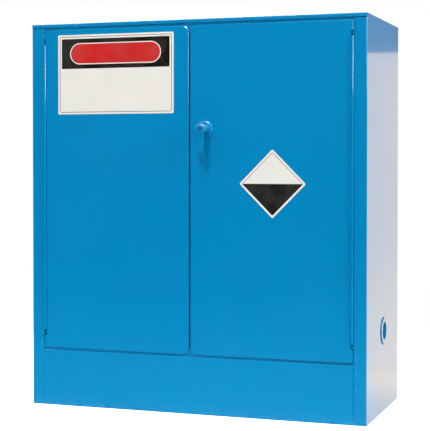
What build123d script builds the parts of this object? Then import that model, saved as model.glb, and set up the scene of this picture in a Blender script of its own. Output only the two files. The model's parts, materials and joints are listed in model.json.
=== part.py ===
"""Two-door steel storage cabinet for dangerous goods, in millimetres, +Z up, front towards -Y.

The origin is the middle of the carcass footprint, on the floor. The carcass is double-walled: an
outer and an inner skin of folded sheet with spacer channels between them. The doors lie flush in
the front, with a hem that laps a rebate in the head and the sill. A quarter turn of the lever
shoots one bolt rod up into the head and one down into the sill.
"""

import os

from build123d import *

# Carcass
width = 1100.0
depth = 470.0
height = 1225.0
wall = 40.0
sheet = 1.5
bend_radius = 3.0
edge_round = 1.2
edge_round_limit_share = 0.9
lip_height = 12.0
joint_gap = 1.5
sill_height = 178.0
rebate_depth = 6.5
sill_lap = 27.0
flange = 20.0
overrun = 5.0

# Spacer channels between the two skins
spacer_width = 30.0
spacer_sheet = 1.5
side_spacer_shares = (-0.2, 0.27)
back_spacer_shares = (-0.3, 0.0, 0.3)
floor_spacer_shares = (-0.38, -0.13, 0.13, 0.38)
ceiling_spacer_shares = (-0.26, 0.26)
sump_lift = 25.0

# Doors
door_thickness = 38.0
top_gap = 7.5
bottom_gap = 7.0
centre_gap = 5.0
centre_gap_offset = -9.0
hinge_side_gap = 1.5
free_corner_radius = 22.0
door_edge_round = 2.5
door_hem = 4.0
box_gap = 2.5
door_flange = 12.0
stiffener_width = 60.0
stiffener_sheet = 1.2
stiffener_share = 0.55

# Door stop frame, its seal and the magnets on it
stop_gap = 3.0
stop_width = 20.0
stop_sheet = 2.0
seal_width = 6.0
seal_inset = 2.0
rest_gap = 0.3
magnet_length = 60.0
magnet_height = 8.0
magnet_thickness = 1.7
magnet_inset = 60.0

# Continuous hinges
knuckle_radius = 4.25
hinge_pin_radius = 2.5
hinge_pin_clearance = 0.05
hinge_air = 0.3
hinge_axis_proud = 1.0
hinge_leaf = 1.2
hinge_leaf_depth = 24.0
knuckle_length = 15.0
knuckle_gap = 0.3
hinge_top_inset = 34.0
hinge_bottom_inset = 57.0
notch_clearance = 4.0
lug_gap = 8.0
lug_reach = 4.0
lug_height = 4.5
lug_thickness = 2.0

# Lever handle, its spindle and its lock
spindle_inset = 48.5
spindle_z = 885.0
spindle_radius = 7.0
spindle_clearance = 0.06
square_side = 9.0
rose_radius = 25.0
rose_thickness = 6.0
rose_round = 3.5
neck_radius = 11.0
neck_fit = 0.5
neck_length = 5.0
rose_nut_radius = 17.0
rose_nut_sides = 6
nut_fit = 0.1
boss_radius = 15.0
boss_gap = 0.3
boss_length = 42.0
boss_round = 5.0
socket_depth = 24.0
lever_length = 112.0
lever_bow = 6.0
lever_tip_drop = 12.0
lever_thickness = 7.5
lever_width = 24.0
lever_tip_width = 12.0
lever_round = 2.5
lock_radius = 7.0
lock_clearance = 0.06
lock_depth = 12.0
lock_proud = 0.4
keyway_width = 1.8
keyway_length = 8.0
keyway_depth = 6.0

# Cam, bolt rods and what guides them
cam_radius = 17.0
cam_thickness = 3.5
cam_air = 0.5
crank_radius = 10.0
crank_pin_radius = 3.0
crank_pin_clearance = 0.5
crank_angle = 45.0
rod_radius = 5.0
rod_clearance = 0.1
rod_axis_depth = 17.0
rod_offset = 9.0
rod_tip_inset = 0.5
yoke_thickness = 6.0
yoke_wall = 3.5
bolt_hole_clearance = 2.0
guide_width = 22.0
guide_height = 14.0
guide_back = 7.5
guide_from_cam = 25.0
guide_from_end = 15.0
upper_guide_shares = (0.0, 1.0)
lower_guide_shares = (0.0, 0.5, 1.0)
strike_length = 60.0
strike_width = 18.0
strike_thickness = 1.5
cover_height = 150.0
cover_width = 90.0
cover_thickness = 1.0
cover_overlap = 8.0
cover_corner_radius = 6.0
cover_screw_radius = 3.0
cover_screw_height = 1.5

# Vents through the side walls
vent_y = 13.0
right_vent_z = 253.0
left_vent_from_top = 175.0
vent_flange_radius = 43.0
vent_flange_thickness = 3.0
vent_flange_round = 1.5
vent_tube_radius = 31.0
vent_tube_wall = 3.0
vent_fit = 0.3
bung_clearance = 0.3
bung_wall = 2.5
bung_length = 22.0
bung_inset = 4.0
grip_thickness = 5.0
grip_inset = 2.5
gauze_thickness = 1.0
gauze_hole_radius = 2.2
gauze_pitch = 6.5

# Spill sump and its liner
sump_sheet = 1.5
liner_wall = 3.0
liner_clearance = 6.0
liner_rim_drop = 6.0

# Slotted standards, clips, shelves and trays
standard_width = 20.0
standard_depth = 4.0
standard_wall = 1.5
standard_lift = 36.5
standard_top_gap = 40.0
standard_y_share = 0.33
slot_pitch = 50.0
slot_width = 6.0
slot_height = 14.0
lower_shelf_slot_count = 6
upper_shelf_slot_count = 12
clip_width = 16.0
clip_reach = 16.0
clip_thickness = 3.0
clip_height = 12.0
shelf_side_gap = 5.5
shelf_front_gap = 12.0
shelf_back_gap = 8.0
shelf_sheet = 1.5
shelf_lip = 30.0
shelf_hole_radius = 12.0
shelf_hole_pitch = 62.0
tray_inset = 12.0
tray_height = 50.0
tray_wall = 3.0
tray_corner_radius = 12.0

# Blank plates on the doors
plate_thickness = 1.0
plate_corner_radius = 4.0
notice_width = 396.0
notice_height = 253.0
notice_from_side = 93.0
notice_from_top = 37.0
diamond_side = 148.5
diamond_turn = 45.0
diamond_from_side = 291.0
diamond_from_top = 508.0

# Planes and levels worked out from the sizes above
sheet_round = min(edge_round, edge_round_limit_share * sheet)
half_width = width / 2
front_y = -depth / 2
back_y = depth / 2
opening_half = half_width - wall
inner_back_y = back_y - wall
ceiling_z = height - wall
lip_z = height - lip_height
rebate_y = front_y + rebate_depth
sill_top_z = sill_height + sill_lap
door_back_y = front_y + door_thickness
stop_y = door_back_y + stop_gap
stop_back_y = stop_y + stop_sheet
door_top_z = lip_z - top_gap
door_bottom_z = sill_height + bottom_gap
box_top_z = ceiling_z - box_gap
box_bottom_z = sill_top_z + box_gap
left_free_x = centre_gap_offset - centre_gap / 2
right_free_x = centre_gap_offset + centre_gap / 2
hinge_axis_x = opening_half - knuckle_radius - hinge_air
hinge_axis_y = front_y - hinge_axis_proud
door_edge_x = hinge_axis_x - knuckle_radius - hinge_air
door_ear_x = opening_half - hinge_side_gap
hinge_top_z = door_top_z - hinge_top_inset
hinge_bottom_z = door_bottom_z + hinge_bottom_inset
knuckle_pairs = int((hinge_top_z - hinge_bottom_z - knuckle_length) / (knuckle_length + knuckle_length))
knuckle_count = knuckle_pairs + knuckle_pairs + 1
hinge_end_z = hinge_bottom_z + knuckle_count * knuckle_length
leaf_bottom_z = hinge_bottom_z - lug_gap - lug_height
leaf_top_z = hinge_end_z + lug_gap + lug_height
notch_top_z = leaf_top_z + notch_clearance
notch_bottom_z = leaf_bottom_z - notch_clearance
spindle_x = right_free_x + spindle_inset
rod_y = front_y + rod_axis_depth
upper_rod_x = spindle_x + rod_offset
lower_rod_x = spindle_x - rod_offset
sump_floor_z = sump_lift
sump_top_z = sill_top_z - sheet
standard_bottom = sump_top_z + standard_lift
shelf_half = opening_half - standard_depth - shelf_side_gap
shelf_front_y = stop_back_y + shelf_front_gap
shelf_back_y = inner_back_y - shelf_back_gap

LOW = (Align.MIN, Align.MIN, Align.MIN)
ON_END = (Align.CENTER, Align.CENTER, Align.MIN)


def block(low, high):
    """A block between its lowest and its highest corner."""
    size = [top - bottom for bottom, top in zip(low, high)]
    return Pos(*low) * Box(*size, align=LOW)


def round_along_x(radius, start, end, y, z):
    """A round bar from one X to a higher one."""
    return Pos(start, y, z) * Rot(Y=90) * Cylinder(radius, end - start, align=ON_END)


def round_along_y(radius, start, end, x, z):
    """A round bar from one Y to a higher one."""
    return Pos(x, start, z) * Rot(X=-90) * Cylinder(radius, end - start, align=ON_END)


def round_along_z(radius, start, end, x, y):
    """A round bar from one Z to a higher one."""
    return Pos(x, y, start) * Cylinder(radius, end - start, align=ON_END)


def folded_section(points):
    """Section of the carcass sheet folded along a line of points, its thickness on the line's left."""
    line = FilletPolyline(*points, radius=bend_radius)
    return make_face(line.offset_2d(sheet, side=Side.LEFT))


def drawn_along_x(section, half_length):
    """A section in Y and Z, drawn out to both sides of the middle plane."""
    return extrude(Plane.YZ * section, amount=half_length, both=True)


def mirrored(piece):
    """The same piece on the other side of the cabinet."""
    return mirror(piece, about=Plane.YZ)


def for_side(piece, side):
    """A piece made for the left side, or its mirror image for the right one."""
    return piece if side == "left" else mirrored(piece)


def open_box(low, high, thickness):
    """A box without a lid: floor and four walls of one thickness."""
    inner_low = [value + thickness for value in low]
    inner_high = [value - thickness for value in high]
    inner_high[-1] = high[-1] + overrun
    return block(low, high) - block(inner_low, inner_high)


def vent_z(side):
    """Height of the vent in one side: low on the right, high on the left."""
    return height - left_vent_from_top if side == "left" else right_vent_z


def vent_hole(side):
    """The hole for a vent tube through both skins."""
    radius = vent_tube_radius + vent_fit
    return round_along_x(radius, -half_width - overrun, -opening_half + overrun, vent_y, vent_z(side))


def bolt_hole(x, z):
    """The hole for a bolt rod through a sheet at one level."""
    return round_along_z(rod_radius + bolt_hole_clearance, z - overrun, z + overrun, x, rod_y)


# Carcass

def outer_side(side):
    """Outer side sheet, folded round the front post and back along the door opening."""
    line = [
        (-half_width, back_y),
        (-half_width, front_y),
        (-opening_half, front_y),
        (-opening_half, stop_back_y),
    ]
    panel = extrude(folded_section(line), amount=height - sheet)
    over_post = block(
        (-half_width, front_y, lip_z - joint_gap), (-opening_half, front_y + bend_radius, height)
    )
    over_return = block(
        (-half_width + sheet, front_y, lip_z - joint_gap), (-opening_half, stop_back_y, height)
    )
    return for_side(panel - over_post - over_return - vent_hole(side), side)


def top_panel():
    """Outer top with the front lip and the rebated head rail that the doors lap."""
    line = [
        (back_y, height),
        (front_y, height),
        (front_y, lip_z),
        (rebate_y, lip_z),
        (rebate_y, ceiling_z),
        (stop_back_y, ceiling_z),
    ]
    panel = drawn_along_x(folded_section(line), half_width)
    over_side = block(
        (-half_width - overrun, front_y + bend_radius, ceiling_z),
        (-half_width + sheet, back_y + overrun, height - sheet),
    )
    beside_rail = block(
        (-half_width - overrun, front_y, ceiling_z - overrun), (-opening_half, back_y, lip_z)
    )
    for cut in (over_side, beside_rail):
        panel -= cut + mirrored(cut)
    panel -= bolt_hole(upper_rod_x, ceiling_z)
    side_edges = panel.edges().filter_by(Axis.Y).group_by(Axis.Z)[-1]
    return fillet(side_edges, sheet_round)


def back_panel():
    """Outer back with a flange down each side, inside the outer sides."""
    half = half_width - sheet
    panel = block((-half, back_y - sheet, sheet), (half, back_y, height - sheet))
    for x in (-half, half - sheet):
        panel += block((x, back_y - flange, sheet), (x + sheet, back_y, height - sheet))
    return panel


def base_pan():
    """Flat floor sheet behind the plinth, which the cabinet stands on."""
    half = half_width - sheet
    return block((-half, stop_back_y, 0), (half, back_y, sheet))


def plinth_panel():
    """Front of the plinth between the posts, with the rebated sill that the doors lap."""
    line = [
        (stop_back_y + sump_sheet, sill_top_z),
        (rebate_y, sill_top_z),
        (rebate_y, sill_height),
        (front_y, sill_height),
        (front_y, 0),
    ]
    panel = drawn_along_x(folded_section(line), opening_half)
    return panel - bolt_hole(lower_rod_x, sill_top_z)


def inner_side(side):
    """Inner skin of one side."""
    panel = block(
        (-opening_half - sheet, stop_back_y, sheet), (-opening_half, inner_back_y, ceiling_z)
    )
    return for_side(panel - vent_hole(side), side)


def inner_back():
    """Inner skin of the back."""
    half = opening_half + sheet
    return block((-half, inner_back_y, sheet), (half, inner_back_y + sheet, ceiling_z))


def ceiling_panel():
    """Inner skin of the top."""
    half = opening_half + sheet
    return block((-half, stop_back_y, ceiling_z), (half, inner_back_y + sheet, ceiling_z + sheet))


def channel(low, high, axis, open_axis):
    """A spacer channel along one axis, open towards +open_axis."""
    inner_low = list(low)
    inner_high = list(high)
    inner_low[axis] -= overrun
    inner_high[axis] += overrun
    inner_high[open_axis] += overrun
    inner_low[open_axis] += spacer_sheet
    (across,) = {0, 1, 2} - {axis, open_axis}
    inner_low[across] += spacer_sheet
    inner_high[across] -= spacer_sheet
    return block(low, high) - block(inner_low, inner_high)


def spacer_channels():
    """Channels that hold the inner skins off the outer ones and carry the sump."""
    side_gap = (half_width - sheet, opening_half + sheet)
    spacers = []
    for share in side_spacer_shares:
        y = share * depth
        low = (-side_gap[0], y, sheet)
        high = (-side_gap[1], y + spacer_width, ceiling_z)
        one = channel(low, high, 2, 1)
        spacers += [one, mirrored(one)]
    for share in back_spacer_shares:
        x = share * width
        low = (x, inner_back_y + sheet, sheet)
        high = (x + spacer_width, back_y - sheet, ceiling_z)
        spacers.append(channel(low, high, 2, 0))
    for share in floor_spacer_shares:
        x = share * width
        low = (x, stop_back_y, sheet)
        high = (x + spacer_width, inner_back_y, sump_floor_z)
        spacers.append(channel(low, high, 1, 0))
    for share in ceiling_spacer_shares:
        x = share * width
        low = (x, stop_back_y, ceiling_z + sheet)
        high = (x + spacer_width, inner_back_y, height - sheet)
        spacers.append(channel(low, high, 1, 0))
    return Compound(spacers)


def stop_ring(front, back, outset):
    """A flat ring in the door opening whose inner edge stands a distance outside the stop's."""
    inner_half = opening_half - stop_width + outset
    outer = block((-opening_half, front, sill_top_z), (opening_half, back, ceiling_z))
    inner = block(
        (-inner_half, front - overrun, sill_top_z + stop_width - outset),
        (inner_half, back + overrun, ceiling_z - stop_width + outset),
    )
    return outer - inner


def door_stop_frame():
    """Frame that the doors close against."""
    return stop_ring(stop_y, stop_back_y, 0)


def door_seal():
    """Rubber strip all round the stop frame, just short of the closed doors."""
    front = door_back_y + rest_gap
    around = stop_ring(front, stop_y, seal_inset)
    return around - stop_ring(front - overrun, stop_y + overrun, seal_inset + seal_width)


def magnet_box(free_x, towards, thickness, y):
    """A strip above the seal, near the free edge of one door."""
    ends = sorted((free_x + towards * magnet_inset, free_x + towards * (magnet_inset + magnet_length)))
    low_z = ceiling_z - stop_width + seal_inset + seal_width + rest_gap
    return block((ends[0], y, low_z), (ends[1], y + thickness, low_z + magnet_height))


def magnets():
    """A magnet on the stop frame for each door."""
    y = stop_y - magnet_thickness
    return Compound(
        [
            magnet_box(left_free_x, -1, magnet_thickness, y),
            magnet_box(right_free_x, 1, magnet_thickness, y),
        ]
    )


def strike_plates():
    """Plates round the bolt holes, under the head and on the sill."""
    plates = []
    for x, low_z in ((upper_rod_x, ceiling_z - strike_thickness), (lower_rod_x, sill_top_z)):
        plate = block(
            (x - strike_length / 2, rod_y - strike_width / 2, low_z),
            (x + strike_length / 2, rod_y + strike_width / 2, low_z + strike_thickness),
        )
        plates.append(plate - bolt_hole(x, low_z))
    return Compound(plates)


# Hinges

def other_knuckles(is_door_leaf):
    """Lower and upper end of each gap in one leaf where the other leaf's knuckles run."""
    first = 0 if is_door_leaf else 1
    lows = [hinge_bottom_z + index * knuckle_length for index in range(first, knuckle_count, 2)]
    half_gap = knuckle_gap / 2
    return [(low - half_gap, low + knuckle_length + half_gap) for low in lows]


def hinge_leaf_piece(side, is_door_leaf):
    """One leaf with its knuckles: on the post, or on the edge of the door."""
    barrel = round_along_z(knuckle_radius, hinge_bottom_z, hinge_end_z, -hinge_axis_x, hinge_axis_y)
    face_x = -door_edge_x if is_door_leaf else -opening_half
    inward = -hinge_leaf if is_door_leaf else hinge_leaf
    ends = sorted((face_x, face_x + inward))
    short_of = lug_height + knuckle_gap if is_door_leaf else 0
    leaf = block(
        (ends[0], hinge_axis_y, leaf_bottom_z + short_of),
        (ends[1], hinge_axis_y + hinge_leaf_depth, leaf_top_z - short_of),
    )
    piece = barrel + leaf
    reach = knuckle_radius + hinge_air
    for low_z, high_z in other_knuckles(is_door_leaf):
        piece -= block(
            (-hinge_axis_x - reach, hinge_axis_y - reach, low_z),
            (-hinge_axis_x + reach, hinge_axis_y + reach, high_z),
        )
    bore = hinge_pin_radius + hinge_pin_clearance
    low_z, high_z = hinge_bottom_z - overrun, hinge_end_z + overrun
    piece -= round_along_z(bore, low_z, high_z, -hinge_axis_x, hinge_axis_y)
    if not is_door_leaf:
        for low_z in (leaf_bottom_z, leaf_top_z - lug_height):
            piece += block(
                (-opening_half - lug_reach, front_y - lug_thickness, low_z),
                (-door_edge_x - hinge_leaf - hinge_air, front_y, low_z + lug_height),
            )
    return for_side(piece, side)


def hinge_pin(side):
    """Pin through all the knuckles of one hinge."""
    pin = round_along_z(hinge_pin_radius, hinge_bottom_z, hinge_end_z, -hinge_axis_x, hinge_axis_y)
    return for_side(pin, side)


# Doors

def door_outline(free_x, inset):
    """Outline of a left-hand door in X and Z, drawn in by an inset; ears clear the hinge notch."""
    ear = -door_ear_x + inset
    edge = -door_edge_x + inset
    points = [
        (ear, door_bottom_z + inset),
        (free_x - inset, door_bottom_z + inset),
        (free_x - inset, door_top_z - inset),
        (ear, door_top_z - inset),
        (ear, notch_top_z + inset),
        (edge, notch_top_z + inset),
        (edge, notch_bottom_z - inset),
        (ear, notch_bottom_z - inset),
    ]
    face = make_face(Polyline(*points, close=True))
    corners = face.vertices().group_by(Axis.X)[-1]
    return fillet(corners, free_corner_radius - inset)


def door_slab(outline, start, end):
    """A door outline made solid between two depths."""
    return Pos(0, end, 0) * extrude(Plane.XZ * outline, amount=end - start)


def door_free_x(side):
    """Free edge of a door, as drawn on the left side."""
    return left_free_x if side == "left" else -right_free_x


def box_block(free_x, start, end, inset):
    """The door's box behind its front sheet, solid between two depths and drawn in by an inset."""
    return block(
        (-door_edge_x + inset, start, box_bottom_z + inset), (free_x - inset, end, box_top_z - inset)
    )


def door_pan(side):
    """Outer pan of a door: a front sheet with a hem that laps the rebate, and the box behind it."""
    free_x = door_free_x(side)
    hem_y = front_y + door_hem
    slab = door_slab(door_outline(free_x, 0), front_y, hem_y)
    slab = fillet(slab.faces().sort_by(Axis.Y)[0].edges(), door_edge_round)
    box = box_block(free_x, front_y + door_edge_round, door_back_y, 0)
    lap = door_slab(door_outline(free_x, sheet), front_y + sheet, hem_y + overrun)
    lap -= box_block(free_x, front_y, door_back_y, 0)
    hollow = box_block(free_x, front_y + sheet, door_back_y + overrun, sheet)
    pan = for_side(slab + box - lap - hollow, side)
    if side == "right":
        pan -= round_along_y(
            neck_radius + neck_fit, front_y - overrun, front_y + overrun, spindle_x, spindle_z
        )
        pan -= bolt_hole(upper_rod_x, box_top_z)
        pan -= bolt_hole(lower_rod_x, box_bottom_z)
    return pan


def door_liner(side):
    """Inner pan of a door, nested between the returns of the outer one."""
    free_x = door_free_x(side)
    start = door_back_y - door_flange
    solid = box_block(free_x, start, door_back_y, sheet)
    hollow = box_block(free_x, start - overrun, door_back_y - sheet, sheet + sheet)
    liner = for_side(solid - hollow, side)
    if side == "right":
        liner -= cover_shape(-cover_overlap, front_y + sheet, door_back_y + overrun)
    return liner


def cover_shape(outset, start, end):
    """The cover plate's rounded rectangle, grown by an outset and made solid between two depths."""
    across = cover_width + outset + outset
    tall = cover_height + outset + outset
    outline = Plane.XZ * Pos(spindle_x, spindle_z) * RectangleRounded(across, tall, cover_corner_radius)
    return Pos(0, end, 0) * extrude(outline, amount=end - start)


def stiffener(side):
    """Channel inside a door, from top to bottom of its front sheet."""
    free_x = door_free_x(side)
    x = free_x + stiffener_share * (-door_edge_x - free_x)
    low = (x, front_y + sheet, box_bottom_z + door_flange)
    high = (x + stiffener_width, door_back_y - sheet, box_top_z - door_flange)
    inner_low = (low[0] + stiffener_sheet, low[1] + stiffener_sheet, low[2] - overrun)
    inner_high = (high[0] - stiffener_sheet, high[1] + overrun, high[2] + overrun)
    return for_side(block(low, high) - block(inner_low, inner_high), side)


def keeper(side):
    """Steel keeper on the back of a door, opposite its magnet."""
    thickness = stop_gap - magnet_thickness - rest_gap
    free_x, towards = (left_free_x, -1) if side == "left" else (right_free_x, 1)
    return magnet_box(free_x, towards, thickness, door_back_y)


# Blank plates

def notice_plate():
    """Rectangular plate on the left door."""
    x = -half_width + notice_from_side + notice_width / 2
    z = height - notice_from_top - notice_height / 2
    outline = Plane.XZ * Pos(x, z) * RectangleRounded(notice_width, notice_height, plate_corner_radius)
    return Pos(0, front_y, 0) * extrude(outline, amount=plate_thickness)


def diamond_plate():
    """Square plate on the right door, standing on its corner."""
    square = RectangleRounded(diamond_side, diamond_side, plate_corner_radius)
    x = half_width - diamond_from_side
    z = height - diamond_from_top
    outline = Plane.XZ * Pos(x, z) * Rot(Z=diamond_turn) * square
    return Pos(0, front_y, 0) * extrude(outline, amount=plate_thickness)


# Lever, lock and cam

boss_back_y = front_y - rose_thickness - boss_gap
boss_front_y = boss_back_y - boss_length
socket_end_y = boss_back_y - socket_depth
lock_end_y = boss_front_y + lock_depth
neck_end_y = front_y + sheet + neck_length
cam_front_y = neck_end_y + cam_air
cam_back_y = cam_front_y + cam_thickness


def handle_rose():
    """Round rose on the door with the neck that the spindle turns in."""
    rose = round_along_y(rose_radius, front_y - rose_thickness, front_y, spindle_x, spindle_z)
    rose = fillet(rose.faces().sort_by(Axis.Y)[0].edges(), rose_round)
    neck = round_along_y(neck_radius, front_y - rose_round, neck_end_y, spindle_x, spindle_z)
    bore = round_along_y(
        spindle_radius + spindle_clearance, boss_back_y, neck_end_y + overrun, spindle_x, spindle_z
    )
    return rose + neck - bore


def rose_nut():
    """Hexagon nut on the neck, inside the door."""
    outline = Plane.XZ * Pos(spindle_x, spindle_z) * RegularPolygon(rose_nut_radius, rose_nut_sides)
    nut = Pos(0, neck_end_y, 0) * extrude(outline, amount=neck_length)
    thread = round_along_y(neck_radius + nut_fit, front_y, neck_end_y + overrun, spindle_x, spindle_z)
    return nut - thread


def spindle():
    """Round spindle in the rose with a square end in the boss and one in the cam."""
    shaft = round_along_y(spindle_radius, boss_back_y, cam_front_y, spindle_x, spindle_z)
    half = square_side / 2
    square = block(
        (spindle_x - half, socket_end_y, spindle_z - half),
        (spindle_x + half, cam_back_y, spindle_z + half),
    )
    return shaft + square


def lever():
    """Boss with the lever hanging from it, bowed away from the door and tapering to its tip."""
    boss = round_along_y(boss_radius, boss_front_y, boss_back_y, spindle_x, spindle_z)
    boss = fillet(boss.faces().sort_by(Axis.Y)[0].edges(), boss_round)
    top = (boss_front_y + boss_round, spindle_z)
    tip_z = spindle_z - lever_length
    tip = (boss_front_y + boss_round + lever_tip_drop, tip_z)
    middle_z = (spindle_z + tip_z) / 2
    middle = (boss_front_y + boss_round + lever_tip_drop / 2 - lever_bow, middle_z)
    inner = [(y + lever_thickness, z) for y, z in (tip, middle, top)]
    side_view = make_face(
        [
            ThreePointArc(top, middle, tip),
            Line(tip, inner[0]),
            ThreePointArc(*inner),
            Line(inner[-1], top),
        ]
    )
    blade = Pos(spindle_x, 0, 0) * drawn_along_x(side_view, lever_width / 2)
    half_tip = lever_tip_width / 2
    half_top = lever_width / 2
    front_view = make_face(
        [
            Line((-half_top, spindle_z), (-half_tip, tip_z + half_tip)),
            ThreePointArc((-half_tip, tip_z + half_tip), (0, tip_z), (half_tip, tip_z + half_tip)),
            Line((half_tip, tip_z + half_tip), (half_top, spindle_z)),
            Line((half_top, spindle_z), (-half_top, spindle_z)),
        ]
    )
    cutter = Pos(spindle_x, 0, 0) * extrude(Plane.XZ * front_view, amount=depth, both=True)
    blade = blade & cutter
    blade = fillet(blade.edges().filter_by(GeomType.LINE, reverse=True), lever_round)
    handle = boss + blade
    half = square_side / 2
    handle -= block(
        (spindle_x - half, socket_end_y, spindle_z - half),
        (spindle_x + half, boss_back_y + overrun, spindle_z + half),
    )
    bore = lock_radius + lock_clearance
    handle -= round_along_y(bore, boss_front_y - overrun, lock_end_y, spindle_x, spindle_z)
    return handle


def lock_plug():
    """Key plug of the lock in the boss, with its keyway."""
    plug = round_along_y(lock_radius, boss_front_y - lock_proud, lock_end_y, spindle_x, spindle_z)
    keyway = block(
        (spindle_x - keyway_width / 2, boss_front_y - overrun, spindle_z - keyway_length / 2),
        (spindle_x + keyway_width / 2, boss_front_y + keyway_depth, spindle_z + keyway_length / 2),
    )
    return plug - keyway


def crank_pin_place(upper):
    """X and Z of a crank pin from the spindle, with the bolts withdrawn."""
    arm = Vector(crank_radius, 0).rotate(Axis.Z, -crank_angle)
    return (arm.X, arm.Y) if upper else (-arm.X, -arm.Y)


def cam():
    """Disc on the spindle's inner end with the two pins that drive the rods."""
    disc = round_along_y(cam_radius, cam_front_y, cam_back_y, spindle_x, spindle_z)
    half = square_side / 2
    disc -= block(
        (spindle_x - half, cam_front_y - overrun, spindle_z - half),
        (spindle_x + half, cam_back_y + overrun, spindle_z + half),
    )
    for upper in (True, False):
        dx, dz = crank_pin_place(upper)
        pin_end = rod_y + yoke_thickness / 2 + rod_clearance
        disc += round_along_y(crank_pin_radius, cam_front_y, pin_end, spindle_x + dx, spindle_z + dz)
    return disc


def bolt_rod(upper):
    """Bolt rod with the slotted yoke that its crank pin runs in."""
    dx, dz = crank_pin_place(upper)
    x = upper_rod_x if upper else lower_rod_x
    yoke_z = spindle_z + dz
    slot_half_height = crank_pin_radius + crank_pin_clearance
    near = spindle_x + dx
    far = spindle_x + (crank_radius if upper else -crank_radius)
    slot_low = min(near, far) - slot_half_height
    slot_high = max(near, far) + slot_half_height
    half_thickness = yoke_thickness / 2
    plate = block(
        (slot_low - yoke_wall, rod_y - half_thickness, yoke_z - slot_half_height - yoke_wall),
        (slot_high + yoke_wall, rod_y + half_thickness, yoke_z + slot_half_height + yoke_wall),
    )
    slot = block(
        (slot_low, rod_y - yoke_thickness, yoke_z - slot_half_height),
        (slot_high, rod_y + yoke_thickness, yoke_z + slot_half_height),
    )
    if upper:
        start, end = yoke_z + slot_half_height, box_top_z - rod_tip_inset
    else:
        start, end = box_bottom_z + rod_tip_inset, yoke_z - slot_half_height
    rod = round_along_z(rod_radius, start, end, x, rod_y)
    return plate + rod - slot


def rod_guides():
    """Guide blocks on the inside of the right door's front sheet, between the cam and its ends."""
    guides = []
    from_cam = cam_radius + guide_from_cam + guide_height / 2
    from_end = guide_from_end + guide_height / 2
    for upper, shares in ((True, upper_guide_shares), (False, lower_guide_shares)):
        x = upper_rod_x if upper else lower_rod_x
        near_z = spindle_z + from_cam if upper else spindle_z - from_cam
        far_z = box_top_z - from_end if upper else box_bottom_z + from_end
        for share in shares:
            z = near_z + share * (far_z - near_z)
            guide = block(
                (x - guide_width / 2, front_y + sheet, z - guide_height / 2),
                (x + guide_width / 2, rod_y + guide_back, z + guide_height / 2),
            )
            bore = round_along_z(rod_radius + rod_clearance, z - guide_height, z + guide_height, x, rod_y)
            guides.append(guide - bore)
    return Compound(guides)


def cam_cover():
    """Cover plate over the cam on the inside of the right door."""
    return cover_shape(0, door_back_y, door_back_y + cover_thickness)


def cover_screws():
    """Heads of the four screws that hold the cover plate."""
    screws = []
    half_across = (cover_width - cover_overlap) / 2
    half_tall = (cover_height - cover_overlap) / 2
    for dx in (-half_across, half_across):
        for dz in (-half_tall, half_tall):
            start = door_back_y + cover_thickness
            end = start + cover_screw_height
            screws.append(round_along_y(cover_screw_radius, start, end, spindle_x + dx, spindle_z + dz))
    return Compound(screws)


# Vents

def vent_port(side):
    """Flanged tube through both skins of one side."""
    start = -half_width - vent_flange_thickness
    z = vent_z(side)
    rim = round_along_x(vent_flange_radius, start, -half_width, vent_y, z)
    rim = fillet(rim.faces().sort_by(Axis.X)[0].edges(), vent_flange_round)
    tube = round_along_x(vent_tube_radius, start, -opening_half, vent_y, z)
    radius = vent_tube_radius - vent_tube_wall
    bore = round_along_x(radius, start - overrun, -opening_half + overrun, vent_y, z)
    return for_side(rim + tube - bore, side)


def vent_gauze(side):
    """Perforated disc over the inner end of the vent tube."""
    z = vent_z(side)
    start = -opening_half
    end = start + gauze_thickness
    disc = round_along_x(vent_tube_radius, start, end, vent_y, z)
    reach = vent_tube_radius - vent_tube_wall - gauze_hole_radius
    count = int(reach / gauze_pitch)
    for row in range(-count, count + 1):
        for column in range(-count, count + 1):
            dy = row * gauze_pitch
            dz = column * gauze_pitch
            if dy * dy + dz * dz < reach * reach:
                disc -= round_along_x(
                    gauze_hole_radius, start - overrun, end + overrun, vent_y + dy, z + dz
                )
    return for_side(disc, side)


def vent_bung(side):
    """Hollow bung in the vent with a grip bar across its mouth."""
    z = vent_z(side)
    radius = vent_tube_radius - vent_tube_wall - bung_clearance
    start = -half_width - vent_flange_thickness + bung_inset
    end = start + bung_length
    cup = round_along_x(radius, start, end, vent_y, z)
    cup -= round_along_x(radius - bung_wall, start - overrun, end - bung_wall, vent_y, z)
    reach = radius - bung_wall / 2
    grip = block(
        (start + grip_inset, vent_y - reach, z - grip_thickness / 2),
        (end - bung_wall / 2, vent_y + reach, z + grip_thickness / 2),
    )
    return for_side(cup + grip, side)


# Inside the cabinet

def sump_tray():
    """Spill sump under the compartment, between the inner skins."""
    return open_box(
        (-opening_half, stop_back_y, sump_floor_z),
        (opening_half, inner_back_y, sump_top_z),
        sump_sheet,
    )


def sump_liner():
    """Loose plastic liner in the sump."""
    inset = sump_sheet + liner_clearance
    return open_box(
        (-opening_half + inset, stop_back_y + inset, sump_floor_z + sump_sheet),
        (opening_half - inset, inner_back_y - inset, sump_top_z - liner_rim_drop),
        liner_wall,
    )


def standard_places():
    """Where the front and the rear standard of one side stand, in Y."""
    reach = standard_y_share * depth
    return (-reach, reach)


def shelf_level(slot_count):
    """Underside of a shelf that hangs a number of slots up."""
    return standard_bottom + slot_count * slot_pitch


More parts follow.
